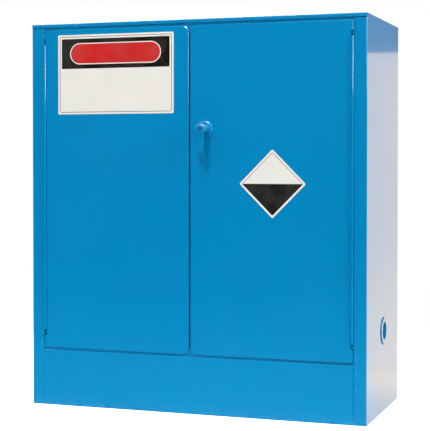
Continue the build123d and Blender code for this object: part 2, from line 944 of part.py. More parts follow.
def standards():
    """Slotted strips on the inner sides, hollow behind their slots."""
    pieces = []
    bottom = standard_bottom - slot_pitch / 2
    top = ceiling_z - standard_top_gap
    slots = int((top - standard_bottom) / slot_pitch)
    face = -opening_half + standard_depth
    half = standard_width / 2
    half_hollow = half - standard_wall
    for y in standard_places():
        strip = block((-opening_half, y - half, bottom), (face, y + half, top))
        strip -= block(
            (-opening_half - overrun, y - half_hollow, bottom - overrun),
            (face - standard_wall, y + half_hollow, top + overrun),
        )
        for index in range(slots):
            z = standard_bottom + index * slot_pitch
            strip -= block(
                (-opening_half, y - slot_width / 2, z - slot_height),
                (face + overrun, y + slot_width / 2, z),
            )
        pieces += [strip, mirrored(strip)]
    return Compound(pieces)


def shelf_clips():
    """Angle clips on the standards, four under each shelf."""
    clips = []
    face = -opening_half + standard_depth
    for slot_count in (lower_shelf_slot_count, upper_shelf_slot_count):
        top = shelf_level(slot_count)
        for y in standard_places():
            upright = block(
                (face, y - clip_width / 2, top - clip_height),
                (face + clip_thickness, y + clip_width / 2, top),
            )
            ledge = block(
                (face, y - clip_width / 2, top - clip_thickness),
                (face + clip_reach, y + clip_width / 2, top),
            )
            clips += [upright + ledge, mirrored(upright + ledge)]
    return Compound(clips)


def shelf(slot_count):
    """Perforated shelf with its front and back edges turned down."""
    z = shelf_level(slot_count)
    plate = block((-shelf_half, shelf_front_y, z), (shelf_half, shelf_back_y, z + shelf_sheet))
    for y in (shelf_front_y, shelf_back_y - shelf_sheet):
        plate += block((-shelf_half, y, z - shelf_lip), (shelf_half, y + shelf_sheet, z))
    across = int((shelf_half - shelf_hole_pitch) / shelf_hole_pitch)
    middle_y = (shelf_front_y + shelf_back_y) / 2
    along = int(((shelf_back_y - shelf_front_y) / 2 - shelf_hole_radius - clip_width) / shelf_hole_pitch)
    holes = []
    for column in range(-across, across + 1):
        for row in range(-along, along + 1):
            holes.append(
                round_along_z(
                    shelf_hole_radius,
                    z - overrun,
                    z + overrun,
                    column * shelf_hole_pitch,
                    middle_y + row * shelf_hole_pitch,
                )
            )
    return plate - holes


def tray(slot_count):
    """Plastic tray that lies on a shelf."""
    z = shelf_level(slot_count) + shelf_sheet
    half = shelf_half - tray_inset
    low = (-half, shelf_front_y + tray_inset, z)
    high = (half, shelf_back_y - tray_inset, z + tray_height)
    solid = block(low, high)
    solid = fillet(solid.edges().filter_by(Axis.Z), tray_corner_radius)
    inner = block(
        (low[0] + tray_wall, low[1] + tray_wall, z + tray_wall),
        (high[0] - tray_wall, high[1] - tray_wall, high[2] + overrun),
    )
    return solid - fillet(inner.edges().filter_by(Axis.Z), tray_corner_radius - tray_wall)


def all_nodes():
    """Every node of the cabinet by name."""
    nodes = {
        "top_panel": top_panel(),
        "back_panel": back_panel(),
        "base_pan": base_pan(),
        "plinth_panel": plinth_panel(),
        "inner_back": inner_back(),
        "ceiling_panel": ceiling_panel(),
        "spacer_channels": spacer_channels(),
        "door_stop_frame": door_stop_frame(),
        "door_seal": door_seal(),
        "magnets": magnets(),
        "strike_plates": strike_plates(),
        "notice_plate": notice_plate(),
        "diamond_plate": diamond_plate(),
        "handle_rose": handle_rose(),
        "rose_nut": rose_nut(),
        "spindle": spindle(),
        "lever": lever(),
        "lock_plug": lock_plug(),
        "cam": cam(),
        "upper_bolt_rod": bolt_rod(True),
        "lower_bolt_rod": bolt_rod(False),
        "rod_guides": rod_guides(),
        "cam_cover": cam_cover(),
        "cover_screws": cover_screws(),
        "sump_tray": sump_tray(),
        "sump_liner": sump_liner(),
        "standards": standards(),
        "shelf_clips": shelf_clips(),
        "lower_shelf": shelf(lower_shelf_slot_count),
        "upper_shelf": shelf(upper_shelf_slot_count),
        "lower_tray": tray(lower_shelf_slot_count),
        "upper_tray": tray(upper_shelf_slot_count),
    }
    for side in ("left", "right"):
        nodes[f"{side}_side_panel"] = outer_side(side)
        nodes[f"{side}_inner_side"] = inner_side(side)
        nodes[f"{side}_door_pan"] = door_pan(side)
        nodes[f"{side}_door_liner"] = door_liner(side)
        nodes[f"{side}_door_stiffener"] = stiffener(side)
        nodes[f"{side}_keeper"] = keeper(side)
        nodes[f"{side}_post_hinge_leaf"] = hinge_leaf_piece(side, False)
        nodes[f"{side}_door_hinge_leaf"] = hinge_leaf_piece(side, True)
        nodes[f"{side}_hinge_pin"] = hinge_pin(side)
        nodes[f"{side}_vent_port"] = vent_port(side)
        nodes[f"{side}_vent_gauze"] = vent_gauze(side)
        nodes[f"{side}_vent_bung"] = vent_bung(side)
    return nodes


os.makedirs("parts", exist_ok=True)
for name, piece in all_nodes().items():
    export_step(piece, f"parts/{name}.step")
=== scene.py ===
"""Looks of the two-door dangerous goods cabinet: enamel, plates, plated and moulded parts, and light.

Lengths are in metres, +Z up, front towards -Y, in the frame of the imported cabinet.
"""

import json
import math

import bmesh
import bpy
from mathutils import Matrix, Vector


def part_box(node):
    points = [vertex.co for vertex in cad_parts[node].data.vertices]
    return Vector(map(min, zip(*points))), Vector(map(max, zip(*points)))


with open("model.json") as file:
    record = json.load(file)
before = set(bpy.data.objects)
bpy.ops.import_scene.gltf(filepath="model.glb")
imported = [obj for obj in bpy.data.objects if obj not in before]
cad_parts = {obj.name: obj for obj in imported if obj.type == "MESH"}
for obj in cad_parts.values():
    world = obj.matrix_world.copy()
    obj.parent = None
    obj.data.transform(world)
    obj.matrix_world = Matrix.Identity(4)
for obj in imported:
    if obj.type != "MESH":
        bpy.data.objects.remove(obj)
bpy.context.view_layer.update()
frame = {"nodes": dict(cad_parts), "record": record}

MM = 0.001

# Camera, solved from the carcass corners in the picture
PICTURE_ROWS = 431
FOCAL_PIXELS = 1269.6
AXIS_ROW = 184.84
SENSOR = 36.0
VIEW_END = 60.0
CAMERA_PLACE = Vector((1.3606, -3.9207, 0.7948))
CAMERA_YAW = math.radians(19.23)
CAMERA_DROP = math.radians(1.2)

# Places on the cabinet that materials and the floor refer to
top_low, top_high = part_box("top_panel")
half_width = top_high.x
front_y = top_low.y
opening_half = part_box("plinth_panel")[1].x
notice_low, notice_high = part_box("notice_plate")
diamond_low, diamond_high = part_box("diamond_plate")
lock_low, lock_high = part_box("lock_plug")
lever_low, lever_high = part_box("lever")


def srgb(red, green, blue):
    """A colour given in 0 to 255 steps, as the shader wants it."""
    def linear(step):
        share = step / 255
        return share / 12.92 if share <= 0.04045 else ((share + 0.055) / 1.055) ** 2.4
    return (linear(red), linear(green), linear(blue), 1.0)


ENAMEL_BLUE = srgb(0, 139, 197)
# Lighter blue of thin paint in the drift and on worn edges, also used as the painted highlight on the
# weld spots
ENAMEL_THIN_AND_HIGHLIGHT_BLUE = srgb(40, 160, 215)
# Darker blue of the painted shade on the lever's lower half
LEVER_SHADE_BLUE = srgb(0, 115, 171)
DUST_GREY = srgb(170, 175, 175)
BARE_ZINC = (0.62, 0.64, 0.66, 1.0)
BARE_GAUZE = (0.45, 0.46, 0.47, 1.0)
RUBBED_ZINC = (0.75, 0.75, 0.74, 1.0)
LOCK_BLUE = (0.006, 0.21, 0.56, 1.0)
LOCK_BLUE_SMUDGED = (0.005, 0.17, 0.46, 1.0)
RUBBER_BLACK = (0.018, 0.018, 0.019, 1.0)
RUBBER_BLOOM = (0.05, 0.05, 0.052, 1.0)
FERRITE_DARK = (0.03, 0.028, 0.027, 1.0)
FERRITE_SPECK = (0.07, 0.065, 0.06, 1.0)
BUNG_BLUE = srgb(0, 130, 192)
BUNG_MOTTLE = srgb(14, 144, 202)
LINER_GREY = srgb(214, 216, 210)
LINER_MOTTLE = srgb(198, 201, 196)
TRAY_GREY = srgb(205, 208, 208)
TRAY_MOTTLE = srgb(188, 192, 193)
PLATE_WHITE = srgb(240, 238, 230)
PLATE_BLACK = srgb(18, 10, 4)
PLATE_RED = srgb(205, 38, 36)
PLATE_FILM = (0.45, 0.43, 0.4, 1.0)


# Node trees

def add(tree, kind, **settings):
    """A new node with its settings."""
    node = tree.nodes.new(kind)
    for name, value in settings.items():
        setattr(node, name, value)
    return node


def feed(tree, socket, source):
    """Sets a socket to a value, or joins it to another node's output."""
    if isinstance(source, bpy.types.NodeSocket):
        tree.links.new(source, socket)
    else:
        socket.default_value = source


def maths(tree, operation, *values, clamp=False):
    """A Math node of the values, and its result."""
    node = add(tree, "ShaderNodeMath", operation=operation, use_clamp=clamp)
    for socket, value in zip(node.inputs, values):
        feed(tree, socket, value)
    return node.outputs[0]


def vector_maths(tree, operation, *values):
    """A Vector Math node of the values, and its vector."""
    node = add(tree, "ShaderNodeVectorMath", operation=operation)
    for socket, value in zip(node.inputs, values):
        feed(tree, socket, value)
    return node.outputs[1 if operation == "LENGTH" else 0]


def ramp(tree, value, low, high, out_low=0.0, out_high=1.0):
    """A smooth step of a value between two limits."""
    node = add(tree, "ShaderNodeMapRange", interpolation_type="SMOOTHSTEP")
    for socket, source in zip(node.inputs, (value, low, high, out_low, out_high)):
        feed(tree, socket, source)
    return node.outputs[0]


def mix_colour(tree, share, first, second, blend="MIX"):
    """Two colours mixed by a share."""
    node = add(tree, "ShaderNodeMix", data_type="RGBA", blend_type=blend)
    feed(tree, node.inputs[0], share)
    feed(tree, node.inputs[6], first)
    feed(tree, node.inputs[7], second)
    return node.outputs[2]


def noise(tree, vector, scale, detail=3.0, roughness=0.5):
    """A noise value at a scale, about 0.5 in the middle."""
    node = add(tree, "ShaderNodeTexNoise")
    feed(tree, node.inputs["Vector"], vector)
    feed(tree, node.inputs["Scale"], scale)
    feed(tree, node.inputs["Detail"], detail)
    feed(tree, node.inputs["Roughness"], roughness)
    return node.outputs["Fac"]


def object_place(tree):
    """The place on the cabinet, in its own frame."""
    return add(tree, "ShaderNodeTexCoord").outputs["Object"]


def effect(name, inputs, outputs):
    """An empty shader group with its sockets, and its input and output nodes."""
    group = bpy.data.node_groups.new(name, "ShaderNodeTree")
    for label, kind, value in inputs:
        socket = group.interface.new_socket(label, in_out="INPUT", socket_type=kind)
        socket.default_value = value
    for label, kind in outputs:
        group.interface.new_socket(label, in_out="OUTPUT", socket_type=kind)
    return group, group.nodes.new("NodeGroupInput").outputs, group.nodes.new("NodeGroupOutput").inputs


def place_effect(tree, group, **values):
    """A shader group placed in a material with its own values."""
    node = add(tree, "ShaderNodeGroup", node_tree=group)
    for label, value in values.items():
        feed(tree, node.inputs[label.replace("_", " ")], value)
    return node.outputs


FLOAT = "NodeSocketFloat"
VECTOR = "NodeSocketVector"

# Factors that keep a place's part in a plane
IN_FRONT = (1.0, 0.0, 1.0)
IN_PLAN = (1.0, 1.0, 0.0)

# Bands of a noise value that a mask is drawn from
EVEN_BAND = (0.3, 0.7)
SPARSE_BAND = (0.35, 0.7)
BLOOM_BAND = (0.4, 0.75)
SPECK_BAND = (0.4, 0.7)
RUB_BAND = (0.42, 0.6)
GRAIN_BAND = (0.35, 0.75)

GLOSS_TO_DRIFT = 4.3
EDGE_BAND = (0.98, 0.8)
LEVEL_BAND = (0.7, 1.0)
DUST_GRAIN = 55.0


def make_spray_skin():
    """Orange peel of a sprayed coat, and the slow drift of its shade and gloss."""
    group, given, put = effect(
        "spray_skin",
        [("Peel scale", FLOAT, 260.0), ("Peel depth", FLOAT, 0.01 * MM), ("Drift scale", FLOAT, 3.0)],
        [("Height", FLOAT), ("Drift", FLOAT), ("Gloss drift", FLOAT)],
    )
    place = object_place(group)
    peel = noise(group, place, given["Peel scale"], detail=1.5)
    feed(group, put["Height"], maths(group, "MULTIPLY", peel, given["Peel depth"]))
    feed(group, put["Drift"], ramp(group, noise(group, place, given["Drift scale"]), *EVEN_BAND))
    finer = maths(group, "MULTIPLY", given["Drift scale"], GLOSS_TO_DRIFT)
    feed(group, put["Gloss drift"], ramp(group, noise(group, place, finer, detail=5.0), *EVEN_BAND))
    return group


def make_edge_wear():
    """Where an edge is rubbed: a rounded normal against the true one, broken up by noise."""
    group, given, put = effect(
        "edge_wear",
        [("Radius", FLOAT, 1.2 * MM), ("Break up", FLOAT, 90.0), ("Amount", FLOAT, 1.0)],
        [("Mask", FLOAT)],
    )
    rounded = add(group, "ShaderNodeBevel", samples=4)
    feed(group, rounded.inputs["Radius"], given["Radius"])
    true = add(group, "ShaderNodeNewGeometry").outputs["Normal"]
    dot = add(group, "ShaderNodeVectorMath", operation="DOT_PRODUCT")
    feed(group, dot.inputs[0], rounded.outputs["Normal"])
    feed(group, dot.inputs[1], true)
    edge = ramp(group, dot.outputs["Value"], *EDGE_BAND)
    rub = ramp(group, noise(group, object_place(group), given["Break up"], detail=4.0), *RUB_BAND)
    both = maths(group, "MULTIPLY", edge, rub)
    feed(group, put["Mask"], maths(group, "MULTIPLY", both, given["Amount"], clamp=True))
    return group


def make_floor_dust():
    """Fine dust low on the cabinet and on surfaces that face up."""
    group, given, put = effect(
        "floor_dust",
        [("Low", FLOAT, 0.0), ("High", FLOAT, 0.09), ("On top", FLOAT, 0.3)],
        [("Mask", FLOAT)],
    )
    place = object_place(group)
    level = add(group, "ShaderNodeSeparateXYZ")
    feed(group, level.inputs[0], place)
    facing = add(group, "ShaderNodeSeparateXYZ")
    feed(group, facing.inputs[0], add(group, "ShaderNodeNewGeometry").outputs["Normal"])
    low = ramp(group, level.outputs["Z"], given["High"], given["Low"])
    up = maths(group, "MULTIPLY", ramp(group, facing.outputs["Z"], *LEVEL_BAND), given["On top"])
    cover = maths(group, "MAXIMUM", low, up)
    grains = ramp(group, noise(group, place, DUST_GRAIN, detail=8.0, roughness=0.65), *GRAIN_BAND)
    feed(group, put["Mask"], maths(group, "MULTIPLY", cover, grains))
    return group


def make_rounded_bar():
    """Mask of a rounded rectangle that faces the front, by its middle, half sizes and corner radius."""
    group, given, put = effect(
        "rounded_bar",
        [
            ("Place", VECTOR, (0.0, 0.0, 0.0)),
            ("Middle", VECTOR, (0.0, 0.0, 0.0)),
            ("Half size", VECTOR, (0.1, 0.0, 0.1)),
            ("Corner", FLOAT, 2 * MM),
            ("Blur", FLOAT, 0.3 * MM),
        ],
        [("Mask", FLOAT)],
    )
    across = vector_maths(group, "SUBTRACT", given["Place"], given["Middle"])
    folded = vector_maths(group, "ABSOLUTE", across)
    corner = add(group, "ShaderNodeCombineXYZ")
    feed(group, corner.inputs["X"], given["Corner"])
    feed(group, corner.inputs["Z"], given["Corner"])
    core = vector_maths(group, "SUBTRACT", given["Half size"], corner.outputs[0])
    past = vector_maths(group, "SUBTRACT", folded, core)
    flat = vector_maths(group, "MULTIPLY", past, IN_FRONT)
    outside = vector_maths(group, "LENGTH", vector_maths(group, "MAXIMUM", flat, (0.0, 0.0, 0.0)))
    parts = add(group, "ShaderNodeSeparateXYZ")
    feed(group, parts.inputs[0], past)
    inside = maths(group, "MINIMUM", maths(group, "MAXIMUM", parts.outputs["X"], parts.outputs["Z"]), 0.0)
    distance = maths(group, "SUBTRACT", maths(group, "ADD", outside, inside), given["Corner"])
    inwards = maths(group, "MULTIPLY", given["Blur"], -1.0)
    feed(group, put["Mask"], ramp(group, distance, given["Blur"], inwards))
    return group


# Factors that draw a grain out along an axis
ALONG_Y = (1.0, 0.04, 1.0)
ALONG_Z = (1.0, 1.0, 0.04)


def make_brushed_grain():
    """Fine streaks along one axis, for plated and rolled steel."""
    group, given, put = effect(
        "brushed_grain",
        [("Stretch", VECTOR, ALONG_Z), ("Scale", FLOAT, 900.0), ("Depth", FLOAT, 0.004 * MM)],
        [("Height", FLOAT), ("Streak", FLOAT)],
    )
    drawn = vector_maths(group, "MULTIPLY", object_place(group), given["Stretch"])
    streak = noise(group, drawn, given["Scale"], detail=4.0, roughness=0.6)
    feed(group, put["Height"], maths(group, "MULTIPLY", streak, given["Depth"]))
    feed(group, put["Streak"], ramp(group, streak, *EVEN_BAND))
    return group


spray_skin = make_spray_skin()
edge_wear = make_edge_wear()
floor_dust = make_floor_dust()
rounded_bar = make_rounded_bar()
brushed_grain = make_brushed_grain()


# Materials

def new_material(name, **plain):
    """A material with its shader, plain values set on the shader's own sockets."""
    material = bpy.data.materials.new(name)
    material.use_nodes = True
    tree = material.node_tree
    shader = tree.nodes["Principled BSDF"]
    for label, value in plain.items():
        shader.inputs[label.replace("_", " ")].default_value = value
    return material, tree, shader


def raise_height(tree, shader, height_value):
    """Feeds a height in metres to the shader's normal."""
    bump = add(tree, "ShaderNodeBump")
    feed(tree, bump.inputs["Strength"], 1.0)
    feed(tree, bump.inputs["Distance"], 1.0)
    feed(tree, bump.inputs["Height"], height_value)
    feed(tree, shader.inputs["Normal"], bump.outputs["Normal"])


def raise_grain(tree, shader, place, scale, depth):
    """Feeds an even grain of a scale and a depth to the shader's normal."""
    raise_height(tree, shader, maths(tree, "MULTIPLY", noise(tree, place, scale), depth))


def roughen(tree, shader, mask, least, more):
    """Feeds a roughness that is least outside a mask, and more by a share inside it."""
    feed(tree, shader.inputs["Roughness"], maths(tree, "MULTIPLY_ADD", mask, more, least))


WELD_INSET = 8 * MM
WELD_PITCH = 47.5 * MM
WELD_BOTTOM = 103 * MM
WELD_COUNT = 3
WELD_RADIUS = 4.4 * MM
WELD_FLAT = 0.5 * WELD_RADIUS
WELD_DEPTH = 0.3 * MM


def weld_marks(tree):
    """Mask of the round weld spots where the plinth is spot-welded to both posts: real dents in the
    enamel, also coloured lighter as a painted highlight.
    """
    place = object_place(tree)
    mirrored = vector_maths(tree, "ABSOLUTE", place)
    x = opening_half + WELD_INSET
    total = 0.0
    for index in range(WELD_COUNT):
        spot = (x, -front_y, WELD_BOTTOM + index * WELD_PITCH)
        away = vector_maths(tree, "LENGTH", vector_maths(tree, "SUBTRACT", mirrored, spot))
        total = maths(tree, "ADD", ramp(tree, away, WELD_RADIUS, WELD_FLAT), total)
    return total


# Limits of the lever's painted shade, as shares of its height above its lowest point
LEVER_SHADE_TOP = 0.5
LEVER_SHADE_FULL = 0.2


def lever_shade_mask(tree):
    """Painted shade on the lever: full near its tip, none above its middle."""
    level = add(tree, "ShaderNodeSeparateXYZ")
    feed(tree, level.inputs[0], object_place(tree))
    span = lever_high.z - lever_low.z
    return ramp(tree, level.outputs["Z"], lever_low.z + LEVER_SHADE_TOP * span, lever_low.z + LEVER_SHADE_FULL * span)


ENAMEL_DRIFT = 0.05
ENAMEL_ROUGH = 0.1
ENAMEL_DULLING = 0.04
DUST_VEIL = 0.06
DUST_DULLING = 0.1
LEVER_SHADE_DULLING = 1.0


def make_enamel(name, welded=False, lever_shaded=False):
    """Semi-gloss blue enamel sprayed on sheet steel."""
    material, tree, shader = new_material(
        name, IOR=1.45, Coat_Weight=1.0, Coat_Roughness=0.02, Coat_IOR=1.5
    )
    skin = place_effect(tree, spray_skin, Peel_scale=300.0, Peel_depth=0.006 * MM, Drift_scale=2.2)
    worn = place_effect(tree, edge_wear, Radius=0.9 * MM, Break_up=70.0, Amount=0.45)["Mask"]
    dust = place_effect(tree, floor_dust, Low=0.0, High=0.05, On_top=0.06)["Mask"]
    drift = maths(tree, "MULTIPLY", skin["Drift"], ENAMEL_DRIFT)
    colour = mix_colour(tree, drift, ENAMEL_BLUE, ENAMEL_THIN_AND_HIGHLIGHT_BLUE)
    colour = mix_colour(tree, worn, colour, ENAMEL_THIN_AND_HIGHLIGHT_BLUE)
    colour = mix_colour(tree, maths(tree, "MULTIPLY", dust, DUST_VEIL), colour, DUST_GREY)
    height_value = skin["Height"]
    if welded:
        weld_dents_and_highlight = weld_marks(tree)
        # Painted highlight: the weld spots are coloured lighter, standing in for the light their dents
        # catch; the dents themselves are real
        colour = mix_colour(tree, weld_dents_and_highlight, colour, ENAMEL_THIN_AND_HIGHLIGHT_BLUE)
        height_value = maths(tree, "MULTIPLY_ADD", weld_dents_and_highlight, -WELD_DEPTH, height_value)
    if lever_shaded:
        # Painted shade: the lower lever is coloured darker, for the shade where it curves away from the
        # light, and its coat is taken off
        lever_shade = lever_shade_mask(tree)
        colour = mix_colour(tree, lever_shade, colour, LEVER_SHADE_BLUE)
        feed(tree, shader.inputs["Coat Weight"], maths(tree, "MULTIPLY_ADD", lever_shade, -LEVER_SHADE_DULLING, 1.0))
    feed(tree, shader.inputs["Base Color"], colour)
    gloss = maths(tree, "MULTIPLY_ADD", skin["Gloss drift"], ENAMEL_DULLING, ENAMEL_ROUGH)
    roughen(tree, shader, dust, least=gloss, more=DUST_DULLING)
    raise_height(tree, shader, height_value)
    return material


ZINC_SPANGLE = 38.0
ZINC_SHADE = 0.78
ZINC_CLOUD = 0.4
STREAK_DULLING = 0.14
CLOUD_DULLING = 0.08


def make_zinc(name, stretch, base=BARE_ZINC, rough=0.34):
    """Bright zinc plate with the grain of the rolled or drawn steel under it."""
    material, tree, shader = new_material(name, Metallic=1.0)
    grain = place_effect(tree, brushed_grain, Stretch=stretch, Scale=700.0, Depth=0.003 * MM)
    cloud = ramp(tree, noise(tree, object_place(tree), ZINC_SPANGLE, detail=5.0), *EVEN_BAND)
    worn = place_effect(tree, edge_wear, Radius=0.6 * MM, Break_up=120.0, Amount=0.6)["Mask"]
    darker = [ZINC_SHADE * value for value in base[:3]] + [1.0]
    colour = mix_colour(tree, maths(tree, "MULTIPLY", cloud, ZINC_CLOUD), base, darker)
    colour = mix_colour(tree, worn, colour, RUBBED_ZINC)
    feed(tree, shader.inputs["Base Color"], colour)
    streaks = maths(tree, "MULTIPLY_ADD", grain["Streak"], STREAK_DULLING, rough)
    roughen(tree, shader, cloud, least=streaks, more=CLOUD_DULLING)
    raise_height(tree, shader, grain["Height"])
    return material


TURNING_PITCH = 0.25 * MM
TURNING_DEPTH = 0.0015 * MM


def make_lock_satin():
    """Dark blue satin metal of the lock plug, with the fine rings of its turning."""
    material, tree, shader = new_material("lock_satin", Metallic=1.0)
    middle = ((lock_low.x + lock_high.x) / 2, 0.0, (lock_low.z + lock_high.z) / 2)
    across = vector_maths(tree, "SUBTRACT", object_place(tree), middle)
    radius = vector_maths(tree, "LENGTH", vector_maths(tree, "MULTIPLY", across, IN_FRONT))
    rings = maths(tree, "SINE", maths(tree, "MULTIPLY", radius, math.tau / TURNING_PITCH))
    smudge = ramp(tree, noise(tree, object_place(tree), scale=160.0, detail=5.0), *SPARSE_BAND)
    colour = mix_colour(tree, smudge, LOCK_BLUE, LOCK_BLUE_SMUDGED)
    feed(tree, shader.inputs["Base Color"], colour)
    roughen(tree, shader, smudge, least=0.36, more=0.1)
    raise_height(tree, shader, maths(tree, "MULTIPLY", rings, TURNING_DEPTH))
    return material


def make_rubber():
    """Matt black rubber with its moulded bloom."""
    material, tree, shader = new_material("seal_rubber", IOR=1.5, Specular_IOR_Level=0.35)
    place = object_place(tree)
    bloom = ramp(tree, noise(tree, place, scale=45.0, detail=6.0, roughness=0.6), *BLOOM_BAND)
    colour = mix_colour(tree, bloom, RUBBER_BLACK, RUBBER_BLOOM)
    feed(tree, shader.inputs["Base Color"], colour)
    roughen(tree, shader, bloom, least=0.62, more=0.2)
    raise_grain(tree, shader, place, scale=1500.0, depth=0.02 * MM)
    return material


MOTTLE = 0.5
RUBBING = 0.5


def make_plastic(name, colour, mottle_colour, rough):
    """Moulded plastic with a fine grain and a faint flow mottle."""
    material, tree, shader = new_material(name, IOR=1.5)
    place = object_place(tree)
    flow = ramp(tree, noise(tree, place, scale=9.0, detail=4.0), *SPARSE_BAND)
    worn = place_effect(tree, edge_wear, Radius=0.8 * MM, Break_up=110.0, Amount=0.5)["Mask"]
    mixed = mix_colour(tree, maths(tree, "MULTIPLY", flow, MOTTLE), colour, mottle_colour)
    mixed = mix_colour(tree, maths(tree, "MULTIPLY", worn, RUBBING), mixed, mottle_colour)
    feed(tree, shader.inputs["Base Color"], mixed)
    roughen(tree, shader, flow, least=rough, more=0.08)
    raise_grain(tree, shader, place, scale=900.0, depth=0.02 * MM)
    return material


SPECK_DEPTH = 0.02 * MM


def make_ferrite():
    """Dark sintered magnet strip."""
    material, tree, shader = new_material("magnet_ferrite", Specular_IOR_Level=0.3)
    place = object_place(tree)
    speck = ramp(tree, noise(tree, place, scale=420.0, detail=4.0), *SPECK_BAND)
    feed(tree, shader.inputs["Base Color"], mix_colour(tree, speck, FERRITE_DARK, FERRITE_SPECK))
    roughen(tree, shader, speck, least=0.6, more=0.2)
    raise_height(tree, shader, maths(tree, "MULTIPLY", speck, SPECK_DEPTH))
    return material


FILM_SHARE = 0.05


def print_finish(tree, shader, ink):
    """Screen-printed face: ink colour, the film's faint waviness and a slightly duller print."""
    place = object_place(tree)
    flow = ramp(tree, noise(tree, place, scale=14.0, detail=4.0), *EVEN_BAND)
    colour = mix_colour(tree, maths(tree, "MULTIPLY", flow, FILM_SHARE), ink, PLATE_FILM)
    feed(tree, shader.inputs["Base Color"], colour)
    roughen(tree, shader, flow, least=0.2, more=0.06)
    raise_grain(tree, shader, place, scale=180.0, depth=0.006 * MM)


# Print on the notice plate, set in from its edges
KEYLINE_INSET = 6 * MM
KEYLINE_WIDTH = 1.6 * MM
KEYLINE_CORNER = 6 * MM
BAND_SIDE = 13 * MM
BAND_TOP = 13 * MM
BAND_HEIGHT = 95 * MM
BAND_CORNER = 3 * MM
BAR_WIDTH = 306 * MM
BAR_HEIGHT = 62 * MM
BAR_RIM = 3 * MM


def bar_mask(tree, place, middle, half_x, half_z, corner):
    """Mask of a rounded bar in a face that looks to the front."""
    return place_effect(
        tree, rounded_bar, Place=place, Middle=(middle[0], 0.0, middle[1]),
        Half_size=(half_x, 0.0, half_z), Corner=corner,
    )["Mask"]


def keyline_mask(tree, place, middle, half_x, half_z, inset, corner):
    """Mask of a thin line that follows a plate's edge at an inset."""
    outer = bar_mask(tree, place, middle, half_x - inset, half_z - inset, corner)
    step = inset + KEYLINE_WIDTH
    inner = bar_mask(tree, place, middle, half_x - step, half_z - step, corner - KEYLINE_WIDTH)
    return maths(tree, "SUBTRACT", outer, inner)


def make_notice():
    """White notice plate with a keyline, a black band and a plain red bar with a white rim."""
    material, tree, shader = new_material("notice_face", IOR=1.45)
    place = object_place(tree)
    middle = ((notice_low.x + notice_high.x) / 2, (notice_low.z + notice_high.z) / 2)
    half_x = (notice_high.x - notice_low.x) / 2
    half_z = (notice_high.z - notice_low.z) / 2
    band_middle = (middle[0], notice_high.z - BAND_TOP - BAND_HEIGHT / 2)
    bar_half = (BAR_WIDTH / 2, BAR_HEIGHT / 2)
    line = keyline_mask(tree, place, middle, half_x, half_z, KEYLINE_INSET, KEYLINE_CORNER)
    band = bar_mask(tree, place, band_middle, half_x - BAND_SIDE, BAND_HEIGHT / 2, BAND_CORNER)
    rim = bar_mask(
        tree, place, band_middle, bar_half[0] + BAR_RIM, bar_half[1] + BAR_RIM, bar_half[1] + BAR_RIM
    )
    bar = bar_mask(tree, place, band_middle, *bar_half, bar_half[1])
    ink = mix_colour(tree, line, PLATE_WHITE, PLATE_BLACK)
    ink = mix_colour(tree, band, ink, PLATE_BLACK)
    ink = mix_colour(tree, rim, ink, PLATE_WHITE)
    ink = mix_colour(tree, bar, ink, PLATE_RED)
    print_finish(tree, shader, ink)
    return material


DIAMOND_INSET = 6 * MM
DIAMOND_CORNER = 4 * MM
CORNER_LOSS = 2 * DIAMOND_CORNER * (math.sqrt(2) - 1)
PRINT_BLUR = 0.2 * MM
KEYLINE_INK = 0.85


def make_diamond():
    """Blank diamond plate, white above and black below, with a keyline inside its edge."""
    material, tree, shader = new_material("diamond_face", IOR=1.45)
    middle = (diamond_low + diamond_high) / 2
    side = (diamond_high.x - diamond_low.x + CORNER_LOSS) / math.sqrt(2)
    turned = add(tree, "ShaderNodeVectorRotate", rotation_type="Y_AXIS")
    feed(tree, turned.inputs["Vector"], object_place(tree))
    feed(tree, turned.inputs["Center"], tuple(middle))
    feed(tree, turned.inputs["Angle"], math.radians(45))
    place = turned.outputs["Vector"]
    spot = (middle.x, middle.z)
    field = bar_mask(
        tree, place, spot, side / 2 - DIAMOND_INSET, side / 2 - DIAMOND_INSET, DIAMOND_CORNER
    )
    line = keyline_mask(tree, place, spot, side / 2, side / 2, DIAMOND_INSET, DIAMOND_CORNER)
    level = add(tree, "ShaderNodeSeparateXYZ")
    feed(tree, level.inputs[0], object_place(tree))
    low = ramp(tree, level.outputs["Z"], middle.z + PRINT_BLUR, middle.z - PRINT_BLUR)
    ink = mix_colour(tree, maths(tree, "MULTIPLY", low, field), PLATE_WHITE, PLATE_BLACK)
    ink = mix_colour(tree, maths(tree, "MULTIPLY", line, KEYLINE_INK), ink, PLATE_BLACK)
    print_finish(tree, shader, ink)
    return material


materials = {
    "blue_paint": make_enamel("blue_enamel"),
    "zinc_steel": make_zinc("zinc_plate", ALONG_Z),
    "gauze_steel": make_zinc("gauze_steel", ALONG_Y, base=BARE_GAUZE, rough=0.4),
    "lock_satin": make_lock_satin(),
    "seal_rubber": make_rubber(),
    "magnet_ferrite": make_ferrite(),
    "bung_plastic": make_plastic("bung_plastic", BUNG_BLUE, BUNG_MOTTLE, rough=0.32),
    "liner_plastic": make_plastic("liner_plastic", LINER_GREY, LINER_MOTTLE, rough=0.5),
    "tray_plastic": make_plastic("tray_plastic", TRAY_GREY, TRAY_MOTTLE, rough=0.42),
    "notice_face": make_notice(),
    "diamond_face": make_diamond(),
}
# Enamel with the weld dents and their painted highlight
welded_enamel = make_enamel("blue_enamel_welded", welded=True)
# Enamel whose lower lever carries painted shade
lever_shaded_enamel = make_enamel("blue_enamel_lever_shaded", lever_shaded=True)
turned_zinc = make_zinc("turned_zinc", ALONG_Y, rough=0.26)

slot_of = {part["node"]: part["material_slot"] for part in frame["record"]["subparts"]}
own_finish = {
    "left_side_panel": welded_enamel,
    "right_side_panel": welded_enamel,
    "lever": lever_shaded_enamel,
    "spindle": turned_zinc,
    "cam": turned_zinc,
}


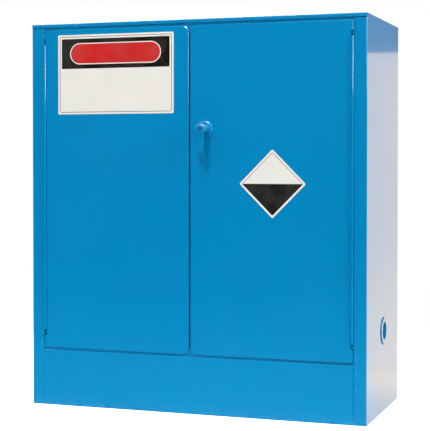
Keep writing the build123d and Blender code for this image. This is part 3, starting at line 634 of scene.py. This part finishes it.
def finish_nodes():
    """Gives each node of the frame its finish."""
    for name, node in frame["nodes"].items():
        material = own_finish.get(name, materials[slot_of[name]])
        node.data.materials.clear()
        node.data.materials.append(material)


finish_nodes()


# Studio: floor, surroundings, lamps and camera

FLOOR_RADIUS = 3.0
FLOOR_SIDES = 96
FLOOR_DROP = 0.5 * MM
FLOOR_FADE_FROM = 0.6
FLOOR_FADE_TO = 1.8
FLOOR_LIFT = 0.6
FLOOR_PALE = (0.92, 0.92, 0.92, 1.0)


def make_floor_finish():
    """Pale matt floor that is bright to look at and fades out away from the cabinet."""
    material = bpy.data.materials.new("studio_floor")
    material.use_nodes = True
    tree = material.node_tree
    tree.nodes.clear()
    surface = add(tree, "ShaderNodeBsdfDiffuse")
    surface.inputs["Color"].default_value = FLOOR_PALE
    white = add(tree, "ShaderNodeEmission")
    rays = add(tree, "ShaderNodeLightPath")
    lift = maths(tree, "MULTIPLY", rays.outputs["Is Camera Ray"], FLOOR_LIFT)
    feed(tree, white.inputs["Strength"], lift)
    lit = add(tree, "ShaderNodeAddShader")
    feed(tree, lit.inputs[0], surface.outputs[0])
    feed(tree, lit.inputs[1], white.outputs[0])
    folded = vector_maths(tree, "ABSOLUTE", object_place(tree))
    past = vector_maths(tree, "SUBTRACT", folded, (half_width, -front_y, 0.0))
    outside = vector_maths(tree, "MAXIMUM", past, (0.0, 0.0, 0.0))
    away = vector_maths(tree, "LENGTH", vector_maths(tree, "MULTIPLY", outside, IN_PLAN))
    fade = ramp(tree, away, FLOOR_FADE_FROM, FLOOR_FADE_TO)
    clear = add(tree, "ShaderNodeBsdfTransparent")
    mixed = add(tree, "ShaderNodeMixShader")
    feed(tree, mixed.inputs[0], maths(tree, "MAXIMUM", fade, rays.outputs["Is Glossy Ray"]))
    feed(tree, mixed.inputs[1], lit.outputs[0])
    feed(tree, mixed.inputs[2], clear.outputs[0])
    out = add(tree, "ShaderNodeOutputMaterial")
    feed(tree, out.inputs["Surface"], mixed.outputs[0])
    return material


def make_floor():
    """Floor under the cabinet that takes its shadow."""
    shape = bmesh.new()
    bmesh.ops.create_circle(shape, cap_ends=True, radius=FLOOR_RADIUS, segments=FLOOR_SIDES)
    bmesh.ops.translate(shape, verts=shape.verts, vec=(0.0, 0.0, -FLOOR_DROP))
    mesh = bpy.data.meshes.new("studio_floor")
    shape.to_mesh(mesh)
    shape.free()
    floor = bpy.data.objects.new("studio_floor", mesh)
    bpy.context.scene.collection.objects.link(floor)
    mesh.materials.append(make_floor_finish())


# What a glossy face sees, by the direction it looks in: limits on the direction's X, Y or Z
REAR_FADE = (-0.1, 0.35)
RIGHT_FADE = (-0.1, 0.15)
ASIDE_FADE = (-0.8, -0.3)
CEILING_FADE = (math.sin(math.radians(9.0)), math.sin(math.radians(30.0)))
CEILING_DIP = 0.2
BACKDROP_EDGE = math.sin(math.radians(4.7))
BACKDROP_FOOT = math.sin(math.radians(-9.45))
EDGE_BLUR = 0.001
BEHIND_FADE = (-0.03, -0.17)
BELOW_FADE = (-0.168, -0.196)
FLOOR_AHEAD_FADE = (-0.09, -0.19)
FLOOR_NEAR_FADE = (-0.21, -0.32)
BELOW = (1.33, 1.07, 0.79, 1.0)
BELOW_LOW = (0.92, 0.86, 0.83, 1.0)
BEHIND = (1.01, 0.865, 0.765, 1.0)
BEHIND_LOW = (1.2, 1.0, 0.77, 1.0)
ABOVE = (0.22, 0.29, 0.43, 1.0)
AHEAD = (0.01, 0.01, 0.01, 1.0)
FLOOR_AHEAD = (0.04, 0.47, 0.6, 1.0)
FLOOR_NEAR = (0.2, 0.22, 0.24, 1.0)
FILL = (0.25, 0.25, 0.25, 1.0)
WHITE = (1.0, 1.0, 1.0, 1.0)


def step_at(tree, value, level):
    """A sharp step of a value at one level."""
    return ramp(tree, value, level - EDGE_BLUR, level + EDGE_BLUR)


def make_surroundings():
    """White to look at, an even fill for the object, and in its gloss a lit backdrop behind it."""
    world = bpy.data.worlds.new("studio")
    bpy.context.scene.world = world
    world.use_nodes = True
    tree = world.node_tree
    tree.nodes.clear()
    way = add(tree, "ShaderNodeSeparateXYZ")
    feed(tree, way.inputs[0], add(tree, "ShaderNodeTexCoord").outputs["Generated"])
    across, along, up = way.outputs
    rear = ramp(tree, along, *REAR_FADE)
    backdrop = maths(tree, "MULTIPLY", rear, ramp(tree, across, *RIGHT_FADE))
    behind = mix_colour(tree, ramp(tree, up, *BEHIND_FADE), BEHIND, BEHIND_LOW)
    ahead = mix_colour(tree, ramp(tree, up, *FLOOR_AHEAD_FADE), AHEAD, FLOOR_AHEAD)
    below = mix_colour(tree, ramp(tree, up, *BELOW_FADE), BELOW, BELOW_LOW)
    glossy = mix_colour(tree, step_at(tree, up, BACKDROP_FOOT), below, behind)
    glossy = mix_colour(tree, step_at(tree, up, BACKDROP_EDGE), glossy, ABOVE)
    glossy = mix_colour(tree, backdrop, ahead, glossy)
    glossy = mix_colour(tree, ramp(tree, up, *FLOOR_NEAR_FADE), glossy, FLOOR_NEAR)
    aside = maths(tree, "SUBTRACT", ramp(tree, along, *ASIDE_FADE), backdrop, clamp=True)
    level = maths(tree, "MULTIPLY_ADD", aside, CEILING_DIP, up)
    glossy = mix_colour(tree, ramp(tree, level, *CEILING_FADE), glossy, ABOVE)
    rays = add(tree, "ShaderNodeLightPath")
    camera_ray, clear_ray = rays.outputs["Is Camera Ray"], rays.outputs["Is Transmission Ray"]
    seen = maths(tree, "ADD", camera_ray, clear_ray, clamp=True)
    colour = mix_colour(tree, rays.outputs["Is Glossy Ray"], FILL, glossy)
    colour = mix_colour(tree, seen, colour, WHITE)
    light = add(tree, "ShaderNodeBackground")
    feed(tree, light.inputs["Color"], colour)
    out = add(tree, "ShaderNodeOutputWorld")
    feed(tree, out.inputs["Surface"], light.outputs[0])


LAMP_AIM = Vector((0.0, 0.0, 0.6))


def add_lamp(name, azimuth, elevation, distance, size, power, in_gloss=True, in_fill=True):
    """A square soft lamp, placed by angles from the front in degrees and aimed at the cabinet."""
    lamp = bpy.data.lights.new(name, "AREA")
    lamp.shape = "SQUARE"
    lamp.size = size
    lamp.energy = power
    holder = bpy.data.objects.new(name, lamp)
    bpy.context.scene.collection.objects.link(holder)
    turn, rise = math.radians(azimuth), math.radians(elevation)
    away = Vector((math.sin(turn) * math.cos(rise), -math.cos(turn) * math.cos(rise), math.sin(rise)))
    holder.location = LAMP_AIM + distance * away
    holder.rotation_euler = away.to_track_quat("Z", "Y").to_euler()
    holder.visible_glossy = in_gloss
    holder.visible_diffuse = in_fill


def add_camera():
    """The picture's camera."""
    lens = bpy.data.cameras.new("picture_camera")
    lens.sensor_width = SENSOR
    lens.lens = FOCAL_PIXELS * SENSOR / PICTURE_ROWS
    lens.shift_y = (AXIS_ROW - PICTURE_ROWS / 2) / PICTURE_ROWS
    lens.clip_end = VIEW_END
    holder = bpy.data.objects.new("picture_camera", lens)
    bpy.context.scene.collection.objects.link(holder)
    ahead = Vector((-math.sin(CAMERA_YAW), math.cos(CAMERA_YAW), 0.0))
    aim = math.cos(CAMERA_DROP) * ahead - Vector((0.0, 0.0, math.sin(CAMERA_DROP)))
    holder.location = CAMERA_PLACE
    holder.rotation_euler = aim.to_track_quat("-Z", "Y").to_euler()
    bpy.context.scene.camera = holder


make_floor()
make_surroundings()
add_lamp("key_softbox", azimuth=-50.0, elevation=28.0, distance=6.5, size=2.2, power=80.0)
add_lamp(
    "front_softbox", azimuth=-10.0, elevation=34.0, distance=6.5, size=1.3, power=99.0,
    in_gloss=False,
)
add_lamp(
    "top_softbox", azimuth=3.0, elevation=66.0, distance=3.8, size=0.8, power=47.0,
    in_gloss=False,
)
add_lamp(
    "side_softbox", azimuth=75.0, elevation=24.0, distance=4.5, size=1.6, power=118.0,
    in_gloss=False,
)
add_lamp(
    "glint_softbox", azimuth=10.0, elevation=50.0, distance=5.0, size=1.0, power=1100.0,
    in_fill=False,
)
add_lamp(
    "edge_softbox", azimuth=72.0, elevation=12.0, distance=5.0, size=0.8, power=48.0,
    in_fill=False,
)
add_lamp("rear_softbox", azimuth=205.0, elevation=35.0, distance=6.0, size=2.4, power=190.0)
add_camera()
bpy.context.scene.view_settings.view_transform = "Standard"
